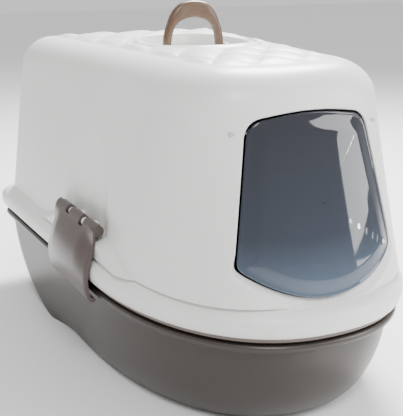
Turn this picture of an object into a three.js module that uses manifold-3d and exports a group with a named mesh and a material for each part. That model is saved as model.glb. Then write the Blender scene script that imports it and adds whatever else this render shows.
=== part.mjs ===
// Cat litter box with hood: an egg-shaped base tray, a sieve tray that hangs in its rim, a
// hood with a handle dish and a swinging flap, and two side clips that hold the hood down.
// Millimetres, +Z up. The origin is on the floor under the middle of the rim; the door faces -Y.
import * as THREE from 'three';
import { mergeVertices } from 'three/addons/utils/BufferGeometryUtils.js';
import Module from 'manifold-3d';

const wasm = await Module();
wasm.setup();

// ---- Driving dimensions ---------------------------------------------------------------

// Plan of the rim, where the hood's flange is widest
const RIM_FRONT = 295; // nose tip, in front of the origin
const RIM_BACK = 295;
const RIM_HALF_FRONT = 166; // half width where the nose starts
const RIM_HALF_BACK = 173.5; // half width where the back corners start
const NOSE_START = -47;
const BACK_START = 247;
const NOSE_POWER = 2.27;
const BACK_POWER = 4.8;

// Base tray
const FLOOR_FRONT = 229;
const FLOOR_BACK = 182;
const FLOOR_HALF_FRONT = 144; // half width where the floor's nose starts
const FLOOR_HALF_BACK = 157;
const FLOOR_NOSE_START = 59;
const FLOOR_BACK_START = 101;
const FLOOR_BACK_POWER = 2.35;
const TUB_HEIGHT = 96;
const TUB_WALL = 3;
const TUB_INSET = 14; // tub wall inside the rim plan, at the tub's top
const TUB_ROUNDING = 1.7; // how round the wall's profile is
const BEAD_INSET = 5;
const BEAD_HEIGHT = 8;
const TRAY_LIP_HEIGHT = 3; // lip above the bead, which the sieve tray rests on

// Sieve tray
const SIEVE_FLOOR_Z = 38;
const SIEVE_WALL = 2.5;
const SIEVE_CLEARANCE = 3;
const SIEVE_RIM_INSET = 6.5;
const SIEVE_RIM_HEIGHT = 4.6;
const SLOT_LENGTH = 40;
const SLOT_WIDTH = 9;
const SLOT_PITCH_X = 52;
const SLOT_PITCH_Y = 24;

// Hood
const SEAT_GAP = 0.3; // between pieces that rest on each other
const FLANGE_HEIGHT = 23;
const HOOD_WALL = 3;
const WALL_HEIGHT = 167.8; // from the wall's foot to where it turns over into the roof
const ROOF_RADIUS = 40;
const ROOF_CROWN = 6;
const SHOULDER_FRONT = 231;
const SHOULDER_BACK = 238;
const SHOULDER_HALF_FRONT = 117;
const SHOULDER_HALF_BACK = 151.5;
const SHOULDER_NOSE_START = -123;
const SHOULDER_BACK_START = 195;
const HOOD_NOSE_POWER = 2.8;
const HOOD_BACK_POWER = 2.8;
const WALL_INSET = 15; // hood wall inside the rim plan, at its foot
const SCOOP_DEPTH = 6.5;
const SCOOP_HALF_WIDTH = 48;
const SCOOP_HEIGHT = 125.8; // above the wall's foot
const SCOOP_Y = -9;
const BOSS_INSET = 6; // raised pad under the clip, inside the rim plan
const BOSS_HEIGHT = 18.8; // above the wall's foot
const BOSS_HALF_LENGTH = 58;
const BOSS_SWEEP = 74; // length of the slope from the pad down to the flange

// Doorway and flap
const DOOR_HALF_BOTTOM = 88;
const DOOR_HALF_TOP = 66.5;
const DOOR_SILL_RISE = 2; // sill above the wall's foot
const DOOR_CORNER_RISE = 31.3; // widest place above the sill
const DOOR_TOP_RISE_OVER_WALL = 1.5; // head above the top of the wall
const DOOR_TOP_RISE = 5;
const DOOR_CORNER = 20;
const FLAP_CLEARANCE = 1.6;
const FLAP_THICKNESS = 2.4;
const FLAP_SETBACK = 0.4;
const FLAP_AXIS_DROP = 16.5; // hinge axis below the doorway's head
const FLAP_AXIS_DEPTH = 6; // hinge axis behind the hood's front face
const FLAP_PIN_RADIUS = 2;
const FLAP_LUG_RADIUS = 4.4;
const FLAP_LUG_LENGTH = 9;
const FLAP_LUG_INSET = 2; // the lug's end inside the flap's side edge
const PIN_CLEARANCE = 0.3;

// Handle and its dish
const DISH_Y = 12.7;
const DISH_HALF_X = 60;
const DISH_HALF_Y = 74;
const DISH_DEPTH = 21;
const DISH_DRAFT = 15;
const DISH_LIP = 1; // lip above the roof's crown
const HANDLE_Y = 12.7;
const HANDLE_HALF_SPAN = 33.6;
const HANDLE_PIVOT_DEPTH = 12; // pivot below the dish's lip
const HANDLE_RISE = 45.6;
const HANDLE_FOOT = 4.7;
const GRIP_HALF_HEIGHT = 9.6;
const GRIP_HALF_DEPTH = 6.5;
const HANDLE_EYE_RADIUS = 6;
const HANDLE_PIN_RADIUS = 2.3;
const HANDLE_LUG_THICKNESS = 6;

// Side clips
const CLIP_Y = -17.5;
const CLIP_HALF_LENGTH = 59.5;
const CLIP_BULGE = 4;
const CLIP_AXIS_INSET = 12;
const CLIP_AXIS_RISE = 11; // hinge axis above the pad's top
const CLIP_BARREL_RADIUS = 5.5;
const CLIP_PIN_RADIUS = 2.2;
const CLIP_LUG_OFFSET = 21.5; // the hood's two knuckles, from the clip's middle
const CLIP_LUG_HALF = 4.5;
const CLIP_CLEARANCE = 0.5; // between the clip's lip and the bead, in plan
const CLIP_BARREL_GAP = 0.35; // between the clip's barrel and the hood's wall

// Heights that follow
const BEAD_TOP = TUB_HEIGHT + BEAD_HEIGHT;
const TRAY_TOP = BEAD_TOP + TRAY_LIP_HEIGHT;
const SIEVE_RIM_Z = TRAY_TOP + SEAT_GAP;
const SIEVE_TOP = SIEVE_RIM_Z + SIEVE_RIM_HEIGHT;
const HOOD_Z = SIEVE_TOP + SEAT_GAP;
const WALL_FOOT_Z = HOOD_Z + FLANGE_HEIGHT + 3;
const SHOULDER_Z = WALL_FOOT_Z + WALL_HEIGHT;
const SCOOP_TOP_Z = WALL_FOOT_Z + SCOOP_HEIGHT;
const BOSS_TOP_Z = WALL_FOOT_Z + BOSS_HEIGHT;
const DOOR_SILL_Z = WALL_FOOT_Z + DOOR_SILL_RISE;
const DOOR_CORNER_Z = DOOR_SILL_Z + DOOR_CORNER_RISE;
const DOOR_TOP_Z = SHOULDER_Z + DOOR_TOP_RISE_OVER_WALL;
const FLAP_AXIS_Z = DOOR_TOP_Z - FLAP_AXIS_DROP;
const CLIP_AXIS_Z = BOSS_TOP_Z + CLIP_AXIS_RISE;
const ROOF_TOP = SHOULDER_Z + ROOF_RADIUS + ROOF_CROWN;
const DISH_LIP_Z = ROOF_TOP + DISH_LIP;
const DISH_FLOOR_Z = DISH_LIP_Z - DISH_DEPTH;
const HANDLE_PIVOT_Z = DISH_LIP_Z - HANDLE_PIVOT_DEPTH;

// ---- Plans, rings and solids ----------------------------------------------------------

const NOSE_STEPS = 11;
const SIDE_STEPS = 8;
const BACK_STEPS = 5;

const RIM = {
  front: RIM_FRONT, back: RIM_BACK, halfFront: RIM_HALF_FRONT, halfBack: RIM_HALF_BACK,
  noseStart: NOSE_START, backStart: BACK_START, nosePower: NOSE_POWER, backPower: BACK_POWER,
};

function mixPlan(a, b, t) {
  const plan = {};
  for (const key of Object.keys(a)) plan[key] = a[key] + (b[key] - a[key]) * t;
  return plan;
}

function insetPlan(plan, inset) {
  return {
    ...plan,
    front: plan.front - inset,
    back: plan.back - inset,
    halfFront: plan.halfFront - inset,
    halfBack: plan.halfBack - inset,
  };
}

// The right half of a plan from the nose tip to the middle of the back, then the left half
function planRing(plan, z) {
  const half = [];
  for (let i = 0; i <= NOSE_STEPS; i++) {
    const a = (i / NOSE_STEPS) * Math.PI / 2;
    const x = plan.halfFront * Math.sin(a) ** (2 / plan.nosePower);
    const y = plan.noseStart - (plan.front + plan.noseStart) * Math.max(Math.cos(a), 0) ** (2 / plan.nosePower);
    half.push([x, y]);
  }
  for (let i = 1; i < SIDE_STEPS; i++) {
    const t = i / SIDE_STEPS;
    half.push([
      plan.halfFront + (plan.halfBack - plan.halfFront) * t,
      plan.noseStart + (plan.backStart - plan.noseStart) * t,
    ]);
  }
  for (let i = 0; i <= BACK_STEPS; i++) {
    const a = (i / BACK_STEPS) * Math.PI / 2;
    const x = plan.halfBack * Math.max(Math.cos(a), 0) ** (2 / plan.backPower);
    const y = plan.backStart + (plan.back - plan.backStart) * Math.sin(a) ** (2 / plan.backPower);
    half.push([x, y]);
  }
  const ring = half.map(([x, y]) => [x, y, z]);
  for (let i = half.length - 2; i > 0; i--) ring.push([-half[i][0], half[i][1], z]);
  return ring;
}

function geometryFrom(points, triangles) {
  const geometry = new THREE.BufferGeometry();
  geometry.setAttribute('position', new THREE.Float32BufferAttribute(points.flat(), 3));
  let volume = 0;
  for (const [a, b, c] of triangles) {
    const [p, q, r] = [points[a], points[b], points[c]];
    volume += p[0] * (q[1] * r[2] - q[2] * r[1]) + p[1] * (q[2] * r[0] - q[0] * r[2])
      + p[2] * (q[0] * r[1] - q[1] * r[0]);
  }
  geometry.setIndex((volume < 0 ? triangles.map(([a, b, c]) => [a, c, b]) : triangles).flat());
  return geometry;
}

// A closed skin over rings of equal length. With poles the first and last ring close to a
// point; without, the last ring joins the first and the skin is a hoop.
function loft(rings, poles) {
  const count = rings[0].length;
  const points = rings.flat();
  const triangles = [];
  const bands = poles ? rings.length - 1 : rings.length;
  for (let r = 0; r < bands; r++) {
    const next = (r + 1) % rings.length;
    for (let i = 0; i < count; i++) {
      const j = (i + 1) % count;
      triangles.push([r * count + i, r * count + j, next * count + j]);
      triangles.push([r * count + i, next * count + j, next * count + i]);
    }
  }
  if (poles) {
    const first = points.push(poles[0]) - 1;
    const last = points.push(poles[1]) - 1;
    const base = (rings.length - 1) * count;
    for (let i = 0; i < count; i++) {
      const j = (i + 1) % count;
      triangles.push([first, j, i]);
      triangles.push([last, base + i, base + j]);
    }
  }
  return geometryFrom(points, triangles);
}

function solid(geometry) {
  const bare = geometry.clone();
  bare.deleteAttribute('normal');
  bare.deleteAttribute('uv');
  const merged = mergeVertices(bare, 1e-4);
  return new wasm.Manifold(new wasm.Mesh({
    numProp: 3,
    vertProperties: merged.attributes.position.array,
    triVerts: new Uint32Array(merged.index.array),
  }));
}

function geometryOf(manifold) {
  const mesh = manifold.getMesh();
  const geometry = new THREE.BufferGeometry();
  geometry.setAttribute('position', new THREE.BufferAttribute(mesh.vertProperties, 3));
  geometry.setIndex(new THREE.BufferAttribute(mesh.triVerts, 1));
  return geometry;
}

function box(x0, x1, y0, y1, z0, z1) {
  const geometry = new THREE.BoxGeometry(x1 - x0, y1 - y0, z1 - z0);
  return geometry.translate((x0 + x1) / 2, (y0 + y1) / 2, (z0 + z1) / 2);
}

function rodX(radius, x0, x1, y, z, sides = 20) {
  const geometry = new THREE.CylinderGeometry(radius, radius, Math.abs(x1 - x0), sides);
  return geometry.rotateZ(Math.PI / 2).translate((x0 + x1) / 2, y, z);
}

function rodY(radius, x, y0, y1, z, sides = 20) {
  const geometry = new THREE.CylinderGeometry(radius, radius, Math.abs(y1 - y0), sides);
  return geometry.translate(0, (y0 + y1) / 2, 0).translate(x, 0, z);
}

function piece(name, geometry, colour, roughness, opacity = 1) {
  const material = new THREE.MeshStandardMaterial({
    color: colour, roughness, metalness: 0, transparent: opacity < 1, opacity,
  });
  const mesh = new THREE.Mesh(geometry, material);
  mesh.name = name;
  return mesh;
}

// Half width of the rim plan along its straight side
function rimHalf(y) {
  const t = (y - NOSE_START) / (BACK_START - NOSE_START);
  return RIM_HALF_FRONT + (RIM_HALF_BACK - RIM_HALF_FRONT) * t;
}

const TAUPE = 0x6c6260;
const TUB = 0x6a6761;
const WHITE = 0xdcdcda;
const BRONZE = 0x84705f;
const SMOKE = 0x66707e;
const CLEAR = 0xc8cdd4;

// ---- Base tray ------------------------------------------------------------------------

const FLOOR = {
  front: FLOOR_FRONT, back: FLOOR_BACK, halfFront: FLOOR_HALF_FRONT, halfBack: FLOOR_HALF_BACK,
  noseStart: FLOOR_NOSE_START, backStart: FLOOR_BACK_START,
  nosePower: NOSE_POWER, backPower: FLOOR_BACK_POWER,
};
const FLOOR_CENTRE = (FLOOR_BACK - FLOOR_FRONT) / 2;
const TUB_TOP = insetPlan(RIM, TUB_INSET);

// The tub's outer plan at a height: round under, then nearly upright
function tubPlan(z) {
  const k = Math.min(Math.max(z / TUB_HEIGHT, 0), 1);
  return mixPlan(FLOOR, TUB_TOP, (1 - (1 - k) ** TUB_ROUNDING) ** (1 / TUB_ROUNDING));
}

const WALL_HEIGHTS = [0, 0.02, 0.07, 0.15, 0.27, 0.42, 0.6, 0.8, 1];

function baseTray() {
  const rings = WALL_HEIGHTS.map((k) => planRing(tubPlan(k * TUB_HEIGHT), k * TUB_HEIGHT));
  const bead = [
    [BEAD_INSET + 1.5, TUB_HEIGHT + 0.3],
    [BEAD_INSET, TUB_HEIGHT + 2],
    [BEAD_INSET, BEAD_TOP - 2.5],
    [BEAD_INSET + 2.5, BEAD_TOP],
    [TUB_INSET - 2, BEAD_TOP],
    [TUB_INSET - 2, TRAY_TOP],
    [TUB_INSET + 2, TRAY_TOP],
  ];
  for (const [inset, z] of bead) rings.push(planRing(insetPlan(RIM, inset), z));
  for (const k of WALL_HEIGHTS.slice(1).reverse()) {
    const z = Math.max(k * TUB_HEIGHT, TUB_WALL);
    rings.push(planRing(insetPlan(tubPlan(k * TUB_HEIGHT), TUB_WALL), z + (1 - k) * 0.6));
  }
  return loft(rings, [[0, FLOOR_CENTRE, 0], [0, FLOOR_CENTRE, TUB_WALL]]);
}

// ---- Sieve tray -----------------------------------------------------------------------

function sievePlan(z, extra) {
  return insetPlan(tubPlan(z), TUB_WALL + SIEVE_CLEARANCE + extra);
}

function sieveTray() {
  const rimZ = SIEVE_RIM_Z;
  const wallTop = rimZ - 6;
  const wallHeights = [0.16, 0.45, 0.75, 1].map((k) => SIEVE_FLOOR_Z + k * (wallTop - SIEVE_FLOOR_Z));
  const rings = [planRing(sievePlan(SIEVE_FLOOR_Z, 8), SIEVE_FLOOR_Z)];
  for (const z of wallHeights) rings.push(planRing(sievePlan(z, 0), z));
  const inner = TUB_INSET + TUB_WALL + SIEVE_CLEARANCE;
  const rim = [
    [inner, rimZ],
    [SIEVE_RIM_INSET, rimZ],
    [SIEVE_RIM_INSET - 0.6, rimZ + 1],
    [SIEVE_RIM_INSET - 0.6, SIEVE_TOP - 1],
    [SIEVE_RIM_INSET + 0.4, SIEVE_TOP],
    [inner - 2, SIEVE_TOP],
    [inner + SIEVE_WALL, SIEVE_TOP - 4],
  ];
  for (const [inset, z] of rim) rings.push(planRing(insetPlan(RIM, inset), z));
  for (const z of wallHeights.reverse()) rings.push(planRing(sievePlan(z, SIEVE_WALL), z + 1));
  rings.push(planRing(sievePlan(SIEVE_FLOOR_Z, 10), SIEVE_FLOOR_Z + SIEVE_WALL));
  const centre = FLOOR_CENTRE;
  const tray = solid(loft(rings, [
    [0, centre, SIEVE_FLOOR_Z],
    [0, centre, SIEVE_FLOOR_Z + SIEVE_WALL],
  ]));
  return geometryOf(tray.subtract(sieveSlots(centre)));
}

// Slots in staggered rows, kept inside the sieve's floor
function sieveSlots(centre) {
  const floor = sievePlan(SIEVE_FLOOR_Z, 20);
  const rows = Math.floor((floor.front + floor.back) / SLOT_PITCH_Y / 2);
  let slots = null;
  for (let row = -rows; row <= rows; row++) {
    const y = centre + row * SLOT_PITCH_Y;
    const shift = row % 2 === 0 ? 0 : SLOT_PITCH_X / 2;
    for (let column = -5; column <= 5; column++) {
      const x = column * SLOT_PITCH_X + shift;
      const reachX = (Math.abs(x) + SLOT_LENGTH / 2) / floor.halfBack;
      const spanY = y < centre ? floor.front + centre : floor.back - centre;
      const reachY = (Math.abs(y - centre) + SLOT_WIDTH / 2) / spanY;
      if (reachX ** 2 + reachY ** 2 > 0.92) continue;
      const slot = solid(box(
        x - SLOT_LENGTH / 2, x + SLOT_LENGTH / 2, y - SLOT_WIDTH / 2, y + SLOT_WIDTH / 2,
        SIEVE_FLOOR_Z - 5, SIEVE_FLOOR_Z + SIEVE_WALL + 5,
      ));
      slots = slots ? slots.add(slot) : slot;
    }
  }
  return slots;
}

// ---- Hood -----------------------------------------------------------------------------

const HOOD_FOOT = {
  ...insetPlan(RIM, WALL_INSET), front: RIM_FRONT - WALL_INSET - 2,
  nosePower: HOOD_NOSE_POWER, backPower: HOOD_BACK_POWER,
};
const HOOD_SHOULDER = {
  front: SHOULDER_FRONT, back: SHOULDER_BACK, halfFront: SHOULDER_HALF_FRONT,
  halfBack: SHOULDER_HALF_BACK, noseStart: SHOULDER_NOSE_START, backStart: SHOULDER_BACK_START,
  nosePower: HOOD_NOSE_POWER, backPower: HOOD_BACK_POWER,
};

function hoodPlan(z) {
  return mixPlan(HOOD_FOOT, HOOD_SHOULDER, (z - WALL_FOOT_Z) / (SHOULDER_Z - WALL_FOOT_Z));
}

// The shallow channel in each side wall that gives the clip room: wide at its foot, arched above
function scoopDepth(y, z) {
  const rise = (z - WALL_FOOT_Z) / (SCOOP_TOP_Z - WALL_FOOT_Z);
  if (rise <= 0 || rise >= 1) return 0;
  const halfWidth = SCOOP_HALF_WIDTH * (1 - rise ** 3.5) + 10;
  const across = Math.abs(y - SCOOP_Y) / halfWidth;
  if (across >= 1) return 0;
  const side = Math.min(1, (1 - across) * 3.2);
  return SCOOP_DEPTH * side * side * (3 - 2 * side) * Math.min(1, (1 - rise) * 2) * Math.min(1, rise * 8);
}

function smooth(t) {
  const k = Math.min(1, Math.max(0, t));
  return k * k * (3 - 2 * k);
}

// How far a side wall stands out on the pad under the clip, which sweeps down into the flange
function bossShare(y, z) {
  const beyond = (Math.abs(y - CLIP_Y) - BOSS_HALF_LENGTH) / BOSS_SWEEP;
  const top = WALL_FOOT_Z + (BOSS_TOP_Z - WALL_FOOT_Z) * (1 - smooth(beyond));
  return beyond >= 1 ? 0 : smooth((top + 4 - z) / 8);
}

// The wall's reach beside the clip, which leaves its barrel free to turn
function clipRoom(y, z) {
  const barrel = CLIP_BARREL_RADIUS + 1;
  const along = (Math.abs(y - CLIP_Y) - CLIP_HALF_LENGTH) / BOSS_SWEEP;
  const above = (Math.abs(z - CLIP_AXIS_Z) - barrel) / barrel;
  const reach = rimHalf(CLIP_Y) - CLIP_AXIS_INSET - barrel - CLIP_BARREL_GAP;
  return reach + WALL_INSET * smooth(Math.max(along, above));
}

function hoodWallRing(z, inset) {
  return planRing(insetPlan(hoodPlan(z), inset), z).map(([x, y]) => {
    const wall = Math.min(Math.abs(x) - scoopDepth(y, z), clipRoom(y, z) - inset);
    const boss = rimHalf(y) - BOSS_INSET - inset;
    const half = wall + Math.max(0, boss - wall) * bossShare(y, z);
    return [Math.sign(x) * half, y, z];
  });
}

// Heights spread evenly from low to high, both included
function spread(low, high, count) {
  return Array.from({ length: count + 1 }, (_, k) => low + ((high - low) * k) / count);
}

const OUTER_HEIGHTS = [
  WALL_FOOT_Z, BOSS_TOP_Z - 9, BOSS_TOP_Z - 3, BOSS_TOP_Z, BOSS_TOP_Z + 4,
  ...spread(BOSS_TOP_Z + 16, SHOULDER_Z, 6),
];
const INNER_HEIGHTS = [WALL_FOOT_Z, BOSS_TOP_Z - 7, ...spread(BOSS_TOP_Z + 4, SHOULDER_Z, 3)];

function scaledRing(plan, scale, z) {
  return planRing(plan, z).map(([x, y]) => [x * scale, ROOF_CENTRE + (y - ROOF_CENTRE) * scale, z]);
}

const ROOF_CENTRE = (SHOULDER_BACK - SHOULDER_FRONT) / 2;

// Rings of the roof from the shoulder to the crown, for the outer or the inner skin
function roofRings(inset) {
  const radius = ROOF_RADIUS;
  const rings = [];
  for (const degrees of [22, 45, 67, 90]) {
    const a = THREE.MathUtils.degToRad(degrees);
    const plan = insetPlan(HOOD_SHOULDER, radius - (radius - inset) * Math.cos(a));
    rings.push(planRing(plan, SHOULDER_Z + (radius - inset) * Math.sin(a)));
  }
  const flat = insetPlan(HOOD_SHOULDER, radius);
  for (const scale of [0.75, 0.4]) {
    rings.push(scaledRing(flat, scale, SHOULDER_Z + radius - inset + ROOF_CROWN * (1 - scale * scale)));
  }
  return rings;
}

// The flange: a rolled edge outside, and a folded lip inside that sits on the sieve tray's rim
function flangeRings() {
  const top = HOOD_Z + FLANGE_HEIGHT;
  const outer = [
    [13, top + 1.4], [8, top - 0.5], [3, top - 4], [0.4, top - 9], [0, HOOD_Z + 7], [1, HOOD_Z + 3],
    [3, HOOD_Z], [10, HOOD_Z], [10, HOOD_Z + 3], [4.5, HOOD_Z + 5], [4, top - 9], [6.5, top - 6],
    [11, top - 3], [15, top - 1],
  ];
  return outer.map(([inset, z]) => planRing(insetPlan(RIM, inset), z));
}

function hoodShell() {
  const outer = OUTER_HEIGHTS.map((z) => hoodWallRing(z, 0)).concat(roofRings(0)).reverse();
  const inner = INNER_HEIGHTS.map((z) => hoodWallRing(z, HOOD_WALL)).concat(roofRings(HOOD_WALL));
  return loft([...outer, ...flangeRings(), ...inner], [
    [0, ROOF_CENTRE, ROOF_TOP],
    [0, ROOF_CENTRE, ROOF_TOP - HOOD_WALL],
  ]);
}

// Outline of the doorway in x and z, drawn in by a clearance for the flap
function doorPrism(clearance) {
  const bottom = DOOR_HALF_BOTTOM - clearance;
  const top = DOOR_HALF_TOP - clearance;
  const sill = DOOR_SILL_Z + clearance;
  const cornerZ = DOOR_CORNER_Z + clearance * 0.6;
  const head = DOOR_TOP_Z - clearance;
  const side = head - DOOR_CORNER - DOOR_TOP_RISE;
  const shape = new THREE.Shape();
  shape.moveTo(-bottom, cornerZ);
  shape.quadraticCurveTo(0, 2 * sill - cornerZ, bottom, cornerZ);
  shape.lineTo(top + 2, side);
  shape.quadraticCurveTo(top, head - DOOR_TOP_RISE + 1, top - DOOR_CORNER, head - DOOR_TOP_RISE + 2);
  shape.quadraticCurveTo(0, head + DOOR_TOP_RISE, -(top - DOOR_CORNER), head - DOOR_TOP_RISE + 2);
  shape.quadraticCurveTo(-top, head - DOOR_TOP_RISE + 1, -(top + 2), side);
  const prism = new THREE.ExtrudeGeometry(shape, { depth: 180, bevelEnabled: false, curveSegments: 10 });
  return prism.rotateX(Math.PI / 2).translate(0, -160, 0);
}

function ovalRing(halfX, halfY, z) {
  const ring = [];
  const steps = 40;
  for (let i = 0; i < steps; i++) {
    const a = (i / steps) * 2 * Math.PI;
    ring.push([halfX * Math.cos(a), DISH_Y + halfY * Math.sin(a), z]);
  }
  return ring;
}

// A tapered oval plug: the dish's outside when grown by the wall, its hollow when not
function dishPlug(grow, floorZ, topZ) {
  const heights = [0, 0.35, 1];
  const rings = heights.map((k) => {
    const draft = DISH_DRAFT * (1 - k) ** 2;
    return ovalRing(DISH_HALF_X + grow - draft, DISH_HALF_Y + grow - draft, floorZ + (topZ - floorZ) * k);
  });
  return loft(rings, [[0, DISH_Y, floorZ], [0, DISH_Y, topZ]]);
}

// Y of the hood's front wall beside the doorway, where the flap's pins stand
function frontWallY(x, z) {
  const plan = hoodPlan(z);
  const reach = (1 - (x / plan.halfFront) ** plan.nosePower) ** (1 / plan.nosePower);
  return plan.noseStart - (plan.front + plan.noseStart) * reach;
}

const FLAP_AXIS_Y = frontWallY(DOOR_HALF_TOP, FLAP_AXIS_Z) + FLAP_AXIS_DEPTH;
const FLAP_LUG_END = DOOR_HALF_TOP - FLAP_CLEARANCE - FLAP_LUG_INSET;
const FLAP_PIN_INNER = FLAP_LUG_END - FLAP_LUG_LENGTH - 1;
const FLAP_PIN_OUTER = DOOR_HALF_TOP + 14;

function hood() {
  const dishTop = DISH_LIP_Z;
  const bulk = solid(loft(OUTER_HEIGHTS.map((z) => hoodWallRing(z, 1)), [
    [0, ROOF_CENTRE, WALL_FOOT_Z],
    [0, ROOF_CENTRE, SHOULDER_Z],
  ]));
  let body = solid(hoodShell());
  body = body.add(solid(dishPlug(HOOD_WALL, DISH_FLOOR_Z - HOOD_WALL, dishTop)));
  body = body.subtract(solid(dishPlug(0, DISH_FLOOR_Z, dishTop + 0.01)));
  body = body.subtract(solid(doorPrism(0)));
  for (const side of [-1, 1]) {
    body = body.add(solid(flapSocket(side)).intersect(bulk));
    body = body.subtract(solid(flapPin(side, PIN_CLEARANCE)));
    body = body.add(solid(handleLug(side)));
    body = body.subtract(solid(handlePin(side, PIN_CLEARANCE)));
    body = body.add(clipLug(side, -1)).add(clipLug(side, 1));
    body = body.subtract(solid(clipPin(side, PIN_CLEARANCE)));
  }
  return geometryOf(body);
}

// ---- Flap -----------------------------------------------------------------------------

function flapSocket(side) {
  const x0 = DOOR_HALF_TOP + 4;
  const x1 = FLAP_PIN_OUTER + 3;
  return box(
    Math.min(side * x0, side * x1), Math.max(side * x0, side * x1),
    FLAP_AXIS_Y - 20, FLAP_AXIS_Y + FLAP_PIN_RADIUS + 4, FLAP_AXIS_Z - 6, FLAP_AXIS_Z + 6,
  );
}

function flapPin(side, grow = 0) {
  const radius = FLAP_PIN_RADIUS + grow;
  return rodX(radius, side * (FLAP_PIN_INNER - grow), side * (FLAP_PIN_OUTER + grow), FLAP_AXIS_Y, FLAP_AXIS_Z);
}

function flap() {
  const heights = [...spread(DOOR_SILL_Z - 8, SHOULDER_Z, 8), SHOULDER_Z + 12];
  const skin = (inset) => heights.map((z) => planRing(insetPlan(hoodPlan(z), inset), z));
  const plate = solid(loft([
    ...skin(FLAP_SETBACK),
    ...skin(FLAP_SETBACK + FLAP_THICKNESS).reverse(),
  ]));
  let body = plate.intersect(solid(doorPrism(FLAP_CLEARANCE)));
  for (const side of [-1, 1]) {
    const outer = FLAP_LUG_END;
    const lug = rodX(FLAP_LUG_RADIUS, side * (outer - FLAP_LUG_LENGTH), side * outer, FLAP_AXIS_Y, FLAP_AXIS_Z);
    body = body.add(solid(lug)).subtract(solid(flapPin(side, PIN_CLEARANCE)));
  }
  return geometryOf(body);
}

// ---- Handle ---------------------------------------------------------------------------

function handleLug(side) {
  const x0 = HANDLE_HALF_SPAN + HANDLE_FOOT + 1;
  const x1 = x0 + HANDLE_LUG_THICKNESS;
  return box(
    Math.min(side * x0, side * x1), Math.max(side * x0, side * x1),
    HANDLE_Y - HANDLE_EYE_RADIUS, HANDLE_Y + HANDLE_EYE_RADIUS,
    DISH_FLOOR_Z - 1, HANDLE_PIVOT_Z + HANDLE_EYE_RADIUS,
  );
}

function handlePin(side, grow = 0) {
  const inner = HANDLE_HALF_SPAN - HANDLE_FOOT + 1.5 - grow;
  const outer = HANDLE_HALF_SPAN + HANDLE_FOOT + HANDLE_LUG_THICKNESS - 1 + grow;
  return rodX(HANDLE_PIN_RADIUS + grow, side * inner, side * outer, HANDLE_Y, HANDLE_PIVOT_Z);
}

// Round ring across the arch at an angle from the left foot (0) to the right foot (180)
function archRing(degrees) {
  const a = THREE.MathUtils.degToRad(degrees);
  const power = 2 / 2.3;
  const cos = Math.cos(a);
  const sin = Math.max(Math.sin(a), 0);
  const x = -HANDLE_HALF_SPAN * Math.sign(cos) * Math.abs(cos) ** power;
  const z = HANDLE_PIVOT_Z + HANDLE_RISE * sin ** power;
  const swell = Math.min(1, Math.max(0, (sin - 0.55) / 0.4)) ** 1.3;
  const thick = HANDLE_FOOT + (GRIP_HALF_HEIGHT - HANDLE_FOOT) * swell;
  const deep = HANDLE_FOOT + 0.6 + (GRIP_HALF_DEPTH - HANDLE_FOOT - 0.6) * swell;
  const normal = new THREE.Vector2(-cos * HANDLE_RISE, sin * HANDLE_HALF_SPAN).normalize();
  const ring = [];
  for (let i = 0; i < 12; i++) {
    const b = (i / 12) * 2 * Math.PI;
    const out = thick * Math.cos(b);
    ring.push([x + normal.x * out, HANDLE_Y + deep * Math.sin(b), z + normal.y * out]);
  }
  return ring;
}

function handle() {
  const rings = [];
  for (let degrees = 0; degrees <= 180; degrees += 10) rings.push(archRing(degrees));
  const foot = (side) => [side * HANDLE_HALF_SPAN, HANDLE_Y, HANDLE_PIVOT_Z];
  let body = solid(loft(rings, [foot(-1), foot(1)]));
  for (const side of [-1, 1]) {
    const x0 = side * (HANDLE_HALF_SPAN - HANDLE_FOOT);
    const x1 = side * (HANDLE_HALF_SPAN + HANDLE_FOOT);
    body = body.add(solid(rodX(HANDLE_EYE_RADIUS, x0, x1, HANDLE_Y, HANDLE_PIVOT_Z)));
    body = body.subtract(solid(handlePin(side, PIN_CLEARANCE)));
  }
  return geometryOf(body);
}

// ---- Side clips -----------------------------------------------------------------------

function clipAxisX() {
  return rimHalf(CLIP_Y) - CLIP_AXIS_INSET;
}

function clipPin(side, grow = 0) {
  const reach = CLIP_HALF_LENGTH - 4 + grow;
  return rodY(CLIP_PIN_RADIUS + grow, side * clipAxisX(), CLIP_Y - reach, CLIP_Y + reach, CLIP_AXIS_Z);
}

// One of the hood's two knuckles between the clip's barrels, on a web that stands out of the wall
function clipLug(side, end) {
  const x = clipAxisX();
  const middle = CLIP_Y + end * CLIP_LUG_OFFSET;
  const y0 = middle - CLIP_LUG_HALF;
  const y1 = middle + CLIP_LUG_HALF;
  const knuckle = solid(rodY(CLIP_BARREL_RADIUS - 0.5, side * x, y0, y1, CLIP_AXIS_Z));
  const inner = side * (x - 13);
  const outer = side * (x + 1);
  const web = box(
    Math.min(inner, outer), Math.max(inner, outer), y0, y1, BOSS_TOP_Z - 3, CLIP_AXIS_Z,
  );
  return knuckle.add(solid(web));
}

// The clip's section as [outside the rim, height]: up the outside, round its hinge, down inside
function clipSection() {
  const lip = TUB_HEIGHT;
  const nub = -(BEAD_INSET - CLIP_CLEARANCE);
  const at = (out, share) => [out, lip + share * (CLIP_AXIS_Z - lip)];
  const round = (out, up) => [out - CLIP_AXIS_INSET, CLIP_AXIS_Z + up];
  return [
    [nub, lip - 3.5], [-1, lip - 4.8], [3.6, lip - 3], at(6.2, 0.06), at(8.2, 0.27), at(8.2, 0.47),
    at(6, 0.66), at(1.8, 0.82), round(9.2, -4), round(7.2, 2.6), round(4.2, 7), round(0, 8.8),
    round(0, 6.2), round(3, 5.4), round(5.5, 1.6), round(6.2, -4), at(-1.2, 0.82), at(2.9, 0.66),
    at(5, 0.47), at(5, 0.27), at(3, 0.06), [1, lip + 0.6], [nub, lip - 0.7],
  ];
}

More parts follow.
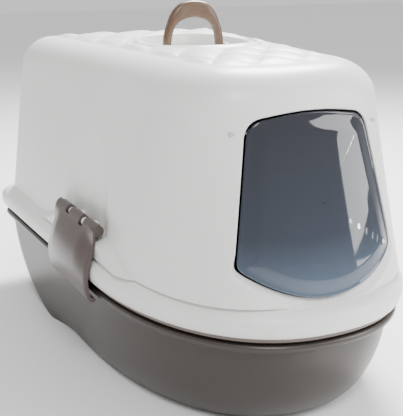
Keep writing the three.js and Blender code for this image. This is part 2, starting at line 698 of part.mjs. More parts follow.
// Triangles that fill a closed outline, all wound the way the outline runs
function capTriangles(section) {
  const outline = section.map(([x, y]) => new THREE.Vector2(x, y));
  const forward = THREE.ShapeUtils.area(outline) > 0;
  return THREE.ShapeUtils.triangulateShape(outline, []).map(([a, b, c]) => {
    const same = THREE.ShapeUtils.area([outline[a], outline[b], outline[c]]) > 0 === forward;
    return same ? [a, b, c] : [c, b, a];
  });
}

function clip(side) {
  const steps = 8;
  const section = clipSection();
  const sections = [];
  for (let i = 0; i <= steps; i++) {
    const u = (2 * i) / steps - 1;
    const y = CLIP_Y + u * CLIP_HALF_LENGTH;
    sections.push(section.map(([out, z]) => {
      const rise = (z - TUB_HEIGHT) / (CLIP_AXIS_Z - TUB_HEIGHT);
      const belly = Math.sin(Math.PI * Math.min(Math.max(rise, 0), 1));
      return [side * (rimHalf(y) + out + CLIP_BULGE * belly * (1 - u * u)), y, z];
    }));
  }
  const count = section.length;
  const points = sections.flat();
  const triangles = [];
  for (let r = 0; r < steps; r++) {
    for (let i = 0; i < count; i++) {
      const j = (i + 1) % count;
      triangles.push([r * count + i, r * count + j, (r + 1) * count + j]);
      triangles.push([r * count + i, (r + 1) * count + j, (r + 1) * count + i]);
    }
  }
  const last = steps * count;
  for (const [a, b, c] of capTriangles(section)) {
    triangles.push([c, b, a]);
    triangles.push([a + last, b + last, c + last]);
  }
  let body = solid(geometryFrom(points, triangles));
  const x = side * clipAxisX();
  const barrel = rodY(CLIP_BARREL_RADIUS + 1, x, CLIP_Y - CLIP_HALF_LENGTH, CLIP_Y + CLIP_HALF_LENGTH, CLIP_AXIS_Z);
  body = body.add(solid(barrel));
  for (const end of [-1, 1]) {
    const middle = CLIP_Y + end * CLIP_LUG_OFFSET;
    const half = CLIP_LUG_HALF + 1;
    const deep = CLIP_BARREL_RADIUS + 1.5;
    const inner = x - side * 3 * deep;
    const outer = x + side * deep;
    const room = box(
      Math.min(inner, outer), Math.max(inner, outer), middle - half, middle + half,
      CLIP_AXIS_Z - deep, CLIP_AXIS_Z + 2 * deep,
    );
    body = body.subtract(solid(room));
  }
  return geometryOf(body.subtract(solid(clipPin(side, PIN_CLEARANCE))));
}

// ---- The object -----------------------------------------------------------------------

const object = new THREE.Group();
object.add(piece('base_tray', baseTray(), TUB, 0.5));
object.add(piece('sieve_tray', sieveTray(), TAUPE, 0.5));
object.add(piece('hood', hood(), WHITE, 0.45));
object.add(piece('door_flap', flap(), SMOKE, 0.1, 0.5));
object.add(piece('handle', handle(), BRONZE, 0.4));
for (const [name, side] of [['left', -1], ['right', 1]]) {
  object.add(piece(`flap_pin_${name}`, flapPin(side), CLEAR, 0.2));
  object.add(piece(`handle_pin_${name}`, handlePin(side), BRONZE, 0.4));
  object.add(piece(`side_clip_${name}`, clip(side), TAUPE, 0.45));
  object.add(piece(`clip_pin_${name}`, clipPin(side), TAUPE, 0.4));
}

export default object;
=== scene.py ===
# Looks of the hooded cat litter box. Shapes are worked out in millimetres in the part's frame
# (door at -Y, +Z up) and written to the meshes in metres.
import math
import bmesh
import bpy
from mathutils import Matrix, Vector


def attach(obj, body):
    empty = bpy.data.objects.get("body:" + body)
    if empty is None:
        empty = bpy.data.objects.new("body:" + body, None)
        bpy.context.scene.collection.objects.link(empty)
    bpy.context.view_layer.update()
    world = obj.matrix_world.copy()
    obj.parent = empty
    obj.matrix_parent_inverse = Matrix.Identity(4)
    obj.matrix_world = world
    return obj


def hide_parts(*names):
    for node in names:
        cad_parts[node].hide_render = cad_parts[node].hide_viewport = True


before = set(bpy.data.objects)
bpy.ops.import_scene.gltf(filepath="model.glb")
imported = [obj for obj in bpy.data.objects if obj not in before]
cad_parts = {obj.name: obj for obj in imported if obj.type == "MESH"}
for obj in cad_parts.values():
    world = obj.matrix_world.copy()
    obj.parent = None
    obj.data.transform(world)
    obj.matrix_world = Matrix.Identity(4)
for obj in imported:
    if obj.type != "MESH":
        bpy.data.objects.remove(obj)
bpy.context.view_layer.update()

# ---- Sizes: the outer shapes follow the part's own ---------------------------------------------------

RIM = dict(front=295, back=295, hf=166, hb=173.5, ns=-47, bs=247, np=2.27, bp=4.8)
FLOOR = dict(front=229, back=182, hf=144, hb=157, ns=59, bs=101, np=2.27, bp=2.35)
FLOOR_CENTRE = -23.5
TUB_HEIGHT = 96.0
BEAD_TOP = 104.0
TRAY_TOP = 107.0
SIEVE_Z = 107.3
SIEVE_TOP = 111.9
SIEVE_FLOOR_Z = 38.0
HOOD_Z = 112.2
FLANGE_TOP = HOOD_Z + 23
FOOT_Z = 138.2
SHOULDER_Z = 306.0
ROOF_R = 40.0
CROWN = 6.0
FOOT = dict(front=278, back=280, hf=151, hb=158.5, ns=-47, bs=247, np=2.8, bp=2.8)
SHOULDER = dict(front=231, back=238, hf=117, hb=151.5, ns=-123, bs=195, np=2.8, bp=2.8)
ROOF_CENTRE = 3.5
ROOF_TOP = 352.0
CLIP_Y = -17.5
CLIP_HALF = 59.5
CLIP_INSET = 12.0
CLIP_AXIS_Z = 168.0
CLIP_LUG = 21.5
BOSS_TOP = 157.0
SCOOP_Y = -9.0
SCOOP_TOP = 264.0
DOOR_HALF_LOW, DOOR_HALF_TOP = 88.0, 66.5
DOOR_CORNER_Z, DOOR_SILL_Z, DOOR_TOP_Z = 171.5, 140.2, 307.5
DOOR_CENTRE = (0.0, 226.0)
DISH_Y, DISH_X_HALF, DISH_Y_HALF = 12.7, 60.0, 74.0
DISH_FLOOR_Z = 332.0
HANDLE_Y = 12.7
HANDLE_Z = 341.0
HANDLE_SPAN = 33.6
HANDLE_RISE = 45.6
FLAP_AXIS_Y = -220.51
FLAP_AXIS_Z = 291.0
WALL = 3.0  # of the hood
TUB_INSET = 14.0  # tub wall inside the rim plan, at the tub's top
TUB_ROUNDING = 1.7
TUB_WALL = 3.0
SIEVE_INSET = 6.0  # sieve wall inside the tub's
SIEVE_WALL = 2.5
SLOT_PITCH_X, SLOT_PITCH_Y = 52.0, 24.0
SLOT_HALF, SLOT_RADIUS = 15.5, 4.5
SLOT_LOW, SLOT_HIGH = 34.0, 46.0
SCOOP_DEPTH, SCOOP_HALF, SCOOP_FOOT = 6.5, 48.0, 10.0
BOSS_INSET, BOSS_HALF, BOSS_SWEEP = 6.0, 58.0, 74.0
SILL_TOP_Z, SILL_BLEND = 188.0, 30.0  # where the doorway's edge begins to widen to its sill
GRAIN_TOP_Z = 178.0
JAMB_WIDTH, SILL_EXTRA = 2.0, 6.5
FLAP_GAP = 1.6
FLAP_SETBACK = 0.4
FLAP_MARGIN = 19.5
FLAP_PANEL_DEPTH, FLAP_REAR_DEPTH = -2.6, -0.4
FLAP_LUG_X = (53.9, 62.9)
FLAP_LUG_RADIUS = 4.4
HANDLE_EYE_HALF = 4.7
HANDLE_EYE_RADIUS = 6.0
HANDLE_LUG_X = (39.3, 45.3)
KNUCKLE_HALF, KNUCKLE_RADIUS = 4.5, 5.0
BARREL_RADIUS = 6.5
NOTCH_HALF = 5.5  # half length of the room in a clip for one knuckle
CLIP_BULGE = 4.0
QUILT_X, QUILT_Y, QUILT_HEIGHT = 26.0, 35.0, 3.4
METRES = 0.001

# Divisions of a plan's quarter nose, side and quarter back
NOSE_N, SIDE_N, BACK_N = 72, 84, 40


def smooth(t):
    k = min(1.0, max(0.0, t))
    return k * k * (3 - 2 * k)


def mix(a, b, t):
    return a + (b - a) * t


def mix_plan(a, b, t):
    return {k: mix(a[k], b[k], t) for k in a}


def inset(plan, d):
    return dict(plan, front=plan["front"] - d, back=plan["back"] - d,
                hf=plan["hf"] - d, hb=plan["hb"] - d)


def plan_ring(plan, z):
    half = []
    for i in range(NOSE_N + 1):
        a = i / NOSE_N * math.pi / 2
        half.append((plan["hf"] * math.sin(a) ** (2 / plan["np"]),
                     plan["ns"] - (plan["front"] + plan["ns"]) * max(math.cos(a), 0) ** (2 / plan["np"])))
    for i in range(1, SIDE_N):
        t = i / SIDE_N
        half.append((mix(plan["hf"], plan["hb"], t), mix(plan["ns"], plan["bs"], t)))
    for i in range(BACK_N + 1):
        a = i / BACK_N * math.pi / 2
        half.append((plan["hb"] * max(math.cos(a), 0) ** (2 / plan["bp"]),
                     plan["bs"] + (plan["back"] - plan["bs"]) * math.sin(a) ** (2 / plan["bp"])))
    ring = [(x, y, z) for x, y in half]
    return ring + [(-x, y, z) for x, y in half[-2:0:-1]]


def rim_half(y):
    return RIM["hf"] + (RIM["hb"] - RIM["hf"]) * (y - RIM["ns"]) / (RIM["bs"] - RIM["ns"])


# ---- Meshes ----------------------------------------------------------------------------

class Build:
    """Points and faces of one piece, in millimetres."""

    def __init__(self):
        self.points = []
        self.faces = []
        self.second = set()

    def ring(self, ring):
        start = len(self.points)
        self.points.extend(ring)
        return list(range(start, start + len(ring)))

    def bridge(self, a, b, closed=True, flip=False):
        n = len(a)
        for i in range(n if closed else n - 1):
            j = (i + 1) % n
            quad = (a[i], a[j], b[j], b[i])
            self.faces.append(quad[::-1] if flip else quad)

    def fan(self, ring, point, flip=False):
        self.points.append(point)
        c = len(self.points) - 1
        for i in range(len(ring)):
            tri = (ring[i], ring[(i + 1) % len(ring)], c)
            self.faces.append(tri[::-1] if flip else tri)

    def loft(self, rings, first=None, last=None):
        ids = [self.ring(r) for r in rings]
        for a, b in zip(ids, ids[1:]):
            self.bridge(a, b)
        if first is not None:
            self.fan(ids[0], first, flip=True)
        if last is not None:
            self.fan(ids[-1], last)
        return ids

    def box(self, x0, x1, y0, y1, z0, z1, r=0.8):
        """A block with its upright edges and top rounded off."""
        def loop(d, z):
            pts = []
            for cx, cy, a0 in ((x1, y1, 0), (x0, y1, 90), (x0, y0, 180), (x1, y0, 270)):
                sx, sy = (1 if cx == x1 else -1), (1 if cy == y1 else -1)
                for k in range(5):
                    a = math.radians(a0 + k * 22.5)
                    pts.append((cx - sx * r + (r - d) * math.cos(a), cy - sy * r + (r - d) * math.sin(a), z))
            return pts
        rings = [loop(0, z0), loop(0, z1 - r)]
        for k in (1, 2, 3):
            a = math.radians(30 * k)
            rings.append(loop(r * (1 - math.cos(a)), z1 - r + r * math.sin(a)))
        self.loft(rings, ((x0 + x1) / 2, (y0 + y1) / 2, z0), ((x0 + x1) / 2, (y0 + y1) / 2, z1))

    def socket(self, s):
        """The block behind the front wall that holds one of the flap's pins."""
        rings = []
        for x in (70.5, 71.2, 74, 77, 80, 82.8, 83.5):
            trim = 0.7 if x in (70.5, 83.5) else 0
            z0, z1 = FLAP_AXIS_Z - 6 + trim, FLAP_AXIS_Z + 6 - trim
            low, high = front_y(x, z0, 0) + 1.6, front_y(x, z1, 0) + 1.6
            y1 = max(FLAP_AXIS_Y + 6 - trim, high + 3)
            rings.append([(s * x, low, z0), (s * x, y1, z0), (s * x, y1, z1), (s * x, high, z1)])
        ids = self.loft(rings)
        self.faces.append(tuple(ids[0]))
        self.faces.append(tuple(ids[-1]))

    def rod(self, p, q, radius, sides=32, edge=0.5):
        p, q = Vector(p), Vector(q)
        axis = (q - p).normalized()
        u = axis.orthogonal().normalized()
        v = axis.cross(u)
        length = (q - p).length
        steps = [(0, radius - edge), (edge * 0.3, radius - edge * 0.3), (edge, radius),
                 (length - edge, radius), (length - edge * 0.3, radius - edge * 0.3), (length, radius - edge)]
        rings = []
        for d, r in steps:
            c = p + axis * d
            rings.append([tuple(c + u * (r * math.cos(a)) + v * (r * math.sin(a)))
                          for a in (2 * math.pi * k / sides for k in range(sides))])
        self.loft(rings, tuple(p), tuple(q))

    def mesh(self, name):
        mesh = bpy.data.meshes.new(name)
        mesh.from_pydata([(x * METRES, y * METRES, z * METRES) for x, y, z in self.points], [], self.faces)
        return mesh

    def object(self, name, material, body, slot, replaces=(), sharp=None, second=None):
        mesh = self.mesh(name)
        if second:
            for face, polygon in zip(self.faces, mesh.polygons):
                polygon.material_index = 1 if tuple(sorted(face)) in self.second else 0
        bm = bmesh.new()
        bm.from_mesh(mesh)
        bmesh.ops.remove_doubles(bm, verts=bm.verts, dist=2e-6)
        bmesh.ops.recalc_face_normals(bm, faces=bm.faces)
        if sharp is not None:
            limit = math.radians(sharp)
            for edge in bm.edges:
                if len(edge.link_faces) == 2 and edge.calc_face_angle() > limit:
                    edge.smooth = False
        bm.to_mesh(mesh)
        bm.free()
        mesh.polygons.foreach_set("use_smooth", [True] * len(mesh.polygons))
        obj = bpy.data.objects.new(name, mesh)
        bpy.context.scene.collection.objects.link(obj)
        mesh.materials.append(material)
        if second:
            mesh.materials.append(second)
        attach(obj, body)
        if replaces:
            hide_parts(*replaces)
        return obj


# ---- Materials -------------------------------------------------------------------------

def srgb(r, g, b):
    def lin(c):
        c /= 255
        return c / 12.92 if c <= 0.04045 else ((c + 0.055) / 1.055) ** 2.4
    return (lin(r), lin(g), lin(b), 1)


def plastic(name, colour, dark, rough, grain, grain_scale=2600):
    """Moulded plastic: fine grain, faint flow marks and a slightly uneven gloss."""
    m = bpy.data.materials.new(name)
    m.use_nodes = True
    nt = m.node_tree
    b = nt.nodes["Principled BSDF"]
    tc = nt.nodes.new("ShaderNodeTexCoord")
    flow = nt.nodes.new("ShaderNodeTexNoise")
    flow.inputs["Scale"].default_value = 9
    flow.inputs["Detail"].default_value = 5
    fine = nt.nodes.new("ShaderNodeTexNoise")
    fine.inputs["Scale"].default_value = grain_scale
    fine.inputs["Detail"].default_value = 2
    nt.links.new(tc.outputs["Object"], flow.inputs["Vector"])
    nt.links.new(tc.outputs["Object"], fine.inputs["Vector"])
    ramp = nt.nodes.new("ShaderNodeValToRGB")
    ramp.color_ramp.elements[0].position = 0.35
    ramp.color_ramp.elements[0].color = dark
    ramp.color_ramp.elements[1].position = 0.65
    ramp.color_ramp.elements[1].color = colour
    nt.links.new(flow.outputs["Fac"], ramp.inputs["Fac"])
    nt.links.new(ramp.outputs["Color"], b.inputs["Base Color"])
    gloss = nt.nodes.new("ShaderNodeMapRange")
    gloss.inputs["To Min"].default_value = rough[0]
    gloss.inputs["To Max"].default_value = rough[1]
    mixed = nt.nodes.new("ShaderNodeMath")
    mixed.operation = "MULTIPLY_ADD"
    mixed.inputs[1].default_value = 0.5
    nt.links.new(flow.outputs["Fac"], mixed.inputs[0])
    half = nt.nodes.new("ShaderNodeMath")
    half.operation = "MULTIPLY"
    half.inputs[1].default_value = 0.5
    nt.links.new(fine.outputs["Fac"], half.inputs[0])
    nt.links.new(half.outputs[0], mixed.inputs[2])
    nt.links.new(mixed.outputs[0], gloss.inputs["Value"])
    nt.links.new(gloss.outputs["Result"], b.inputs["Roughness"])
    bump = nt.nodes.new("ShaderNodeBump")
    bump.inputs["Strength"].default_value = grain
    bump.inputs["Distance"].default_value = 0.0004
    nt.links.new(fine.outputs["Fac"], bump.inputs["Height"])
    nt.links.new(bump.outputs["Normal"], b.inputs["Normal"])
    b.inputs["IOR"].default_value = 1.49
    return m


grained = plastic("hood white, grained", srgb(226, 226, 224), srgb(218, 218, 216), (0.4, 0.5), 0.9, 420)
white = plastic("hood white", srgb(226, 226, 224), srgb(222, 222, 220), (0.3, 0.42), 0.04)
tub_mat = plastic("tub taupe", srgb(58, 52, 48), srgb(54, 48, 44), (0.3, 0.38), 0.02)
sieve_mat = plastic("sieve taupe", srgb(112, 99, 92), srgb(105, 93, 87), (0.3, 0.42), 0.04)
clip_mat = plastic("clip taupe", srgb(76, 65, 61), srgb(71, 61, 57), (0.26, 0.34), 0.05)
bronze = plastic("handle bronze", srgb(88, 66, 48), srgb(81, 61, 45), (0.3, 0.38), 0.03)


def smoked(name):
    """Tinted clear plastic, paler towards the foot of the flap."""
    m = bpy.data.materials.new(name)
    m.use_nodes = True
    nt = m.node_tree
    b = nt.nodes["Principled BSDF"]
    tc = nt.nodes.new("ShaderNodeTexCoord")
    sep = nt.nodes.new("ShaderNodeSeparateXYZ")
    nt.links.new(tc.outputs["Object"], sep.inputs[0])
    up = nt.nodes.new("ShaderNodeMapRange")
    up.inputs["From Min"].default_value = 0.142
    up.inputs["From Max"].default_value = 0.307
    nt.links.new(sep.outputs["Z"], up.inputs["Value"])
    flow = nt.nodes.new("ShaderNodeTexNoise")
    flow.inputs["Scale"].default_value = 26
    flow.inputs["Detail"].default_value = 4
    nt.links.new(tc.outputs["Object"], flow.inputs["Vector"])
    shift = nt.nodes.new("ShaderNodeMath")
    shift.operation = "MULTIPLY_ADD"
    shift.inputs[1].default_value = 0.1
    nt.links.new(flow.outputs["Fac"], shift.inputs[0])
    nt.links.new(up.outputs["Result"], shift.inputs[2])
    ramp = nt.nodes.new("ShaderNodeValToRGB")
    els = ramp.color_ramp.elements
    els[0].position, els[0].color = 0.05, srgb(104, 120, 140)
    els[1].position, els[1].color = 1.0, srgb(50, 52, 62)
    mid = els.new(0.38)
    mid.color = srgb(62, 69, 82)
    nt.links.new(shift.outputs[0], ramp.inputs["Fac"])
    nt.links.new(ramp.outputs["Color"], b.inputs["Base Color"])
    rough = nt.nodes.new("ShaderNodeMapRange")
    rough.inputs["To Min"].default_value = 0.02
    rough.inputs["To Max"].default_value = 0.07
    nt.links.new(flow.outputs["Fac"], rough.inputs["Value"])
    nt.links.new(rough.outputs["Result"], b.inputs["Roughness"])
    b.inputs["Transmission Weight"].default_value = 0.45
    b.inputs["IOR"].default_value = 1.5
    return m


smoke = smoked("smoked flap")
clear = plastic("pin clear", srgb(215, 218, 226), srgb(205, 209, 220), (0.08, 0.14), 0.01)
clear.node_tree.nodes["Principled BSDF"].inputs["Transmission Weight"].default_value = 0.5

# ---- Base tray -------------------------------------------------------------------------


def tub_plan(z):
    k = min(max(z / TUB_HEIGHT, 0), 1)
    return mix_plan(FLOOR, inset(RIM, TUB_INSET), (1 - (1 - k) ** TUB_ROUNDING) ** (1 / TUB_ROUNDING))


def arc(cx, cz, r, a0, a1, n=5):
    """[inset, z] points along a round edge; angles in degrees, 0 is towards the middle."""
    return [(cx + r * math.cos(math.radians(mix(a0, a1, k / n))),
             cz + r * math.sin(math.radians(mix(a0, a1, k / n)))) for k in range(n + 1)]


def base_tray():
    b = Build()
    heights = [0, 0.4, 1.2, 2.5, 4.5, 7, 10, 14, 19, 25, 32, 40, 49, 58, 67, 76, 84, 90, 94.5]
    rings = [plan_ring(inset(tub_plan(z), 1.2 if z == 0 else 0), z) for z in heights]
    low = TUB_HEIGHT
    bead = [(12.5, low - 0.2), (9.2, low + 0.2)] + arc(8.2, low + 3.6, 3.2, 270, 180, 5)
    bead += arc(8.6, BEAD_TOP - 3.6, 3.6, 180, 90, 5)
    bead += [(11.6, BEAD_TOP), (12, BEAD_TOP + 0.5), (12, TRAY_TOP - 0.5), (12.5, TRAY_TOP), (15.5, TRAY_TOP),
             (16, TRAY_TOP - 0.5)]
    rings += [plan_ring(inset(RIM, d), z) for d, z in bead]
    for z in reversed(heights[3:]):
        up = max(z, TUB_WALL) + (1 - z / TUB_HEIGHT) * 0.6
        rings.append(plan_ring(inset(tub_plan(z), TUB_WALL), up))
    b.loft(rings, (0, FLOOR_CENTRE, 0.6), (0, FLOOR_CENTRE, TUB_WALL))
    return b.object("tub", tub_mat, "base", "tub", ("base_tray",), sharp=50)


# ---- Sieve tray ------------------------------------------------------------------------


def sieve_plan(z, extra):
    return inset(tub_plan(z), SIEVE_INSET + extra)


def sieve_tray():
    b = Build()
    zs = [40, 43, 48, 56, 66, 78, 88, 97, 101.3]
    rings = [plan_ring(sieve_plan(SIEVE_FLOOR_Z, 8), SIEVE_FLOOR_Z)]
    rings += [plan_ring(sieve_plan(z, max(0, 2.6 - (z - SIEVE_FLOOR_Z))), z) for z in zs]
    rim = [(20, SIEVE_Z), (7.2, SIEVE_Z)] + arc(7.1, SIEVE_Z + 1.2, 1.2, 270, 180, 4)
    rim += arc(7.1, SIEVE_TOP - 1.2, 1.2, 180, 90, 4)
    rim += [(17, SIEVE_TOP), (19.5, SIEVE_TOP - 0.8), (22.5, SIEVE_TOP - 4)]
    rings += [plan_ring(inset(RIM, d), z) for d, z in rim]
    rings += [plan_ring(sieve_plan(z, SIEVE_WALL), z + 1) for z in reversed(zs)]
    floor_top = SIEVE_FLOOR_Z + SIEVE_WALL
    rings.append(plan_ring(sieve_plan(SIEVE_FLOOR_Z, 10), floor_top))
    b.loft(rings, (0, FLOOR_CENTRE, SIEVE_FLOOR_Z), (0, FLOOR_CENTRE, floor_top))
    tray = b.object("sieve", sieve_mat, "sieve", "taupe", ("sieve_tray",), sharp=50)
    cut = Build()
    floor = sieve_plan(SIEVE_FLOOR_Z, 20)
    for row in range(-8, 9):
        y = FLOOR_CENTRE + row * SLOT_PITCH_Y
        for column in range(-5, 6):
            x = column * SLOT_PITCH_X + (0 if row % 2 == 0 else SLOT_PITCH_X / 2)
            span = floor["front"] + FLOOR_CENTRE if y < FLOOR_CENTRE else floor["back"] - FLOOR_CENTRE
            half_length = SLOT_HALF + SLOT_RADIUS
            reach = ((abs(x) + half_length) / floor["hb"]) ** 2
            reach += ((abs(y - FLOOR_CENTRE) + SLOT_RADIUS) / span) ** 2
            if reach > 0.92:
                continue
            outline = []
            for end in (1, -1):
                for k in range(9):
                    a = math.radians(-90 * end + k * 22.5)
                    outline.append((x + end * SLOT_HALF + SLOT_RADIUS * math.cos(a),
                                    y + SLOT_RADIUS * math.sin(a)))
            cut.loft([[(px, py, z) for px, py in outline] for z in (SLOT_LOW, SLOT_HIGH)],
                     (x, y, SLOT_LOW), (x, y, SLOT_HIGH))
    carve(tray, cut)
    return tray


# ---- Hood ------------------------------------------------------------------------------


def hood_plan(z):
    return mix_plan(FOOT, SHOULDER, (z - FOOT_Z) / (SHOULDER_Z - FOOT_Z))


def scoop_depth(y, z):
    rise = (z - FOOT_Z) / (SCOOP_TOP - FOOT_Z)
    if rise <= 0 or rise >= 1:
        return 0.0
    across = abs(y - SCOOP_Y) / (SCOOP_HALF * (1 - rise ** 3.5) + SCOOP_FOOT)
    if across >= 1:
        return 0.0
    side = min(1, (1 - across) * 5.5)
    return SCOOP_DEPTH * side * side * (3 - 2 * side) * min(1, (1 - rise) * 2) * min(1, rise * 8)


def boss_share(y, z):
    beyond = (abs(y - CLIP_Y) - BOSS_HALF) / BOSS_SWEEP
    if beyond >= 1:
        return 0.0
    top = FOOT_Z + (BOSS_TOP - FOOT_Z) * (1 - smooth(beyond))
    return smooth((top + 4 - z) / 8)


def wall_point(x, y, z, d):
    """A point of the plain wall, moved by the scoop and by the pad under the clip."""
    side = abs(x) - scoop_depth(y, z)
    boss = rim_half(y) - BOSS_INSET - d
    return (math.copysign(side + max(0, boss - side) * boss_share(y, z), x), y, z)


def wall_ring(z, d):
    return [wall_point(x, y, z, d) if abs(x) > 60 else (x, y, z)
            for x, y, z in plan_ring(inset(hood_plan(z), d), z)]


def quilt(x, y, edge):
    """Height of the soft pads pressed into the roof: a lattice of long diamonds."""
    u = x / QUILT_X
    v = y / QUILT_Y
    p, q = u + v, u - v
    pad = abs(math.sin(math.pi * p / 2) * math.sin(math.pi * q / 2)) ** 0.55
    return QUILT_HEIGHT * pad * edge


def roof_plan_z(z, d):
    """The outer or inner skin's plan at any height up to the roof's flat."""
    if z <= SHOULDER_Z:
        return inset(hood_plan(z), d)
    r = ROOF_R - d
    return inset(SHOULDER, ROOF_R - math.sqrt(max(r * r - (z - SHOULDER_Z) ** 2, 0)))


def front_y(x, z, d):
    plan = roof_plan_z(z, d)
    reach = max(0.0, 1 - (abs(x) / plan["hf"]) ** plan["np"]) ** (1 / plan["np"])
    return plan["ns"] - (plan["front"] + plan["ns"]) * reach


def quad_curve(p, c, q, n):
    out = []
    for k in range(n):
        t = k / n
        out.append(tuple((1 - t) ** 2 * p[i] + 2 * t * (1 - t) * c[i] + t * t * q[i] for i in (0, 1)))
    return out


def door_outline(c):
    """The doorway in x and z, drawn in by c, counterclockwise from its lower left corner."""
    bottom, top, sill = DOOR_HALF_LOW - c, DOOR_HALF_TOP - c, DOOR_SILL_Z + c
    corner, head = DOOR_CORNER_Z + c * 0.6, DOOR_TOP_Z - c
    side = head - 25
    pts = quad_curve((-bottom, corner), (0, 2 * sill - corner), (bottom, corner), 60)
    pts += quad_curve((bottom, corner), ((bottom + top + 2) / 2, (corner + side) / 2), (top + 2, side), 30)
    pts += quad_curve((top + 2, side), (top, head - 4), (top - 20, head - 3), 24)
    pts += quad_curve((top - 20, head - 3), (0, head + 5), (-(top - 20), head - 3), 40)
    pts += quad_curve((-(top - 20), head - 3), (-top, head - 4), (-(top + 2), side), 24)
    pts += quad_curve((-(top + 2), side), (-(bottom + top + 2) / 2, (corner + side) / 2),
                      (-bottom, corner), 30)
    for _ in range(3):
        pts = [((a[0] + 2 * b[0] + e[0]) / 4, (a[1] + 2 * b[1] + e[1]) / 4)
               for a, b, e in zip(pts[-1:] + pts[:-1], pts, pts[1:] + pts[:1])]
    return pts


def resample(pts, fractions):
    lengths = [0.0]
    for a, b in zip(pts, pts[1:] + pts[:1]):
        lengths.append(lengths[-1] + math.dist(a, b))
    out = []
    for f in fractions:
        want = (f % 1.0) * lengths[-1]
        lo, hi = 0, len(pts)
        while hi - lo > 1:
            m = (lo + hi) // 2
            if lengths[m] <= want:
                lo = m
            else:
                hi = m
        t = (want - lengths[lo]) / max(lengths[lo + 1] - lengths[lo], 1e-9)
        a, b = pts[lo], pts[(lo + 1) % len(pts)]
        out.append((mix(a[0], b[0], t), mix(a[1], b[1], t)))
    return out


def outline_normals(pts):
    out = []
    for a, b in zip(pts[-1:] + pts[:-1], pts[1:] + pts[:1]):
        dx, dz = b[0] - a[0], b[1] - a[1]
        d = math.hypot(dx, dz) or 1
        out.append((dz / d, -dx / d))
    return out


WALL_ZS = ([FOOT_Z + 0.3] + [FOOT_Z + 1.9 * k for k in range(1, 16)] + [170 + 3.3 * k for k in range(30)]
           + [269.5 + 4 * k for k in range(9)] + [SHOULDER_Z])
FILLET = [4, 9, 15, 21, 28, 35, 42, 50, 58, 66, 74, 82]
BLOCK_COLUMNS = 36
BLOCK_TOP = len(WALL_ZS) + 3


def skin_rings(d):
    """Rings of one skin of the hood from its foot to the start of the roof's flat."""
    rings = [wall_ring(z, d) for z in WALL_ZS]
    for degrees in FILLET:
        a = math.radians(degrees)
        z = SHOULDER_Z + (ROOF_R - d) * math.sin(a)
        rings.append(plan_ring(inset(SHOULDER, ROOF_R - (ROOF_R - d) * math.cos(a)), z))
    return rings


def door_patch(b, ids, d, door):
    """Replace a block of a skin's cells by rings that run in to the doorway's outline."""
    n = len(ids[0])
    cols = [c % n for c in range(-BLOCK_COLUMNS, BLOCK_COLUMNS + 1)]
    low, high = 0, BLOCK_TOP
    for r in range(len(ids) - 1):
        for i in range(n):
            j = (i + 1) % n
            inside = low <= r < high and (i < BLOCK_COLUMNS or i >= n - BLOCK_COLUMNS)
            if not inside:
                b.faces.append((ids[r][i], ids[r][j], ids[r + 1][j], ids[r + 1][i]))
    loop = [ids[low][c] for c in cols] + [ids[r][cols[-1]] for r in range(low + 1, high + 1)]
    loop += [ids[high][c] for c in cols[-2::-1]] + [ids[r][cols[0]] for r in range(high - 1, low, -1)]
    edge = [(b.points[k][0], b.points[k][2]) for k in loop]
    fractions = polar_fractions(door, edge, DOOR_CENTRE)
    inner = resample(door, fractions)
    previous = loop
    steps = 7
    for s in range(1, steps + 1):
        t = 1 - (1 - s / steps) ** 1.5
        ring = []
        for (ex, ez), (ix, iz) in zip(edge, inner):
            x, z = mix(ex, ix, t), mix(ez, iz, t)
            ring.append((x, front_y(x, z, d), z))
        now = b.ring(ring)
        b.bridge(previous, now)
        previous = now
    return previous, inner


def polar_fractions(outline, edge, centre):
    """Where along the outline the rays to the edge's points cross it."""
    n = len(outline)
    lengths = [0.0]
    for a, c in zip(outline, outline[1:] + outline[:1]):
        lengths.append(lengths[-1] + math.dist(a, c))
    angles = [math.atan2(z - centre[1], x - centre[0]) for x, z in outline]
    out = []
    for x, z in edge:
        want = math.atan2(z - centre[1], x - centre[0])
        for k in range(n):
            a0, a1 = angles[k], angles[(k + 1) % n]
            gap = (a1 - a0 + math.pi) % (2 * math.pi) - math.pi
            off = (want - a0 + math.pi) % (2 * math.pi) - math.pi
            if gap > 0 and 0 <= off <= gap:
                out.append((lengths[k] + off / gap * (lengths[k + 1] - lengths[k])) / lengths[-1])
                break
        else:
            out.append(out[-1] if out else 0.0)
    return out


def sill_share(z):
    """How far the doorway's edge has turned from the jamb (0) to the sill (1)."""
    return smooth((SILL_TOP_Z - z) / SILL_BLEND)


def bevel_at(z):
    """Width of the turned-in edge of the doorway, which widens to a sill below."""
    return JAMB_WIDTH + SILL_EXTRA * sill_share(z)


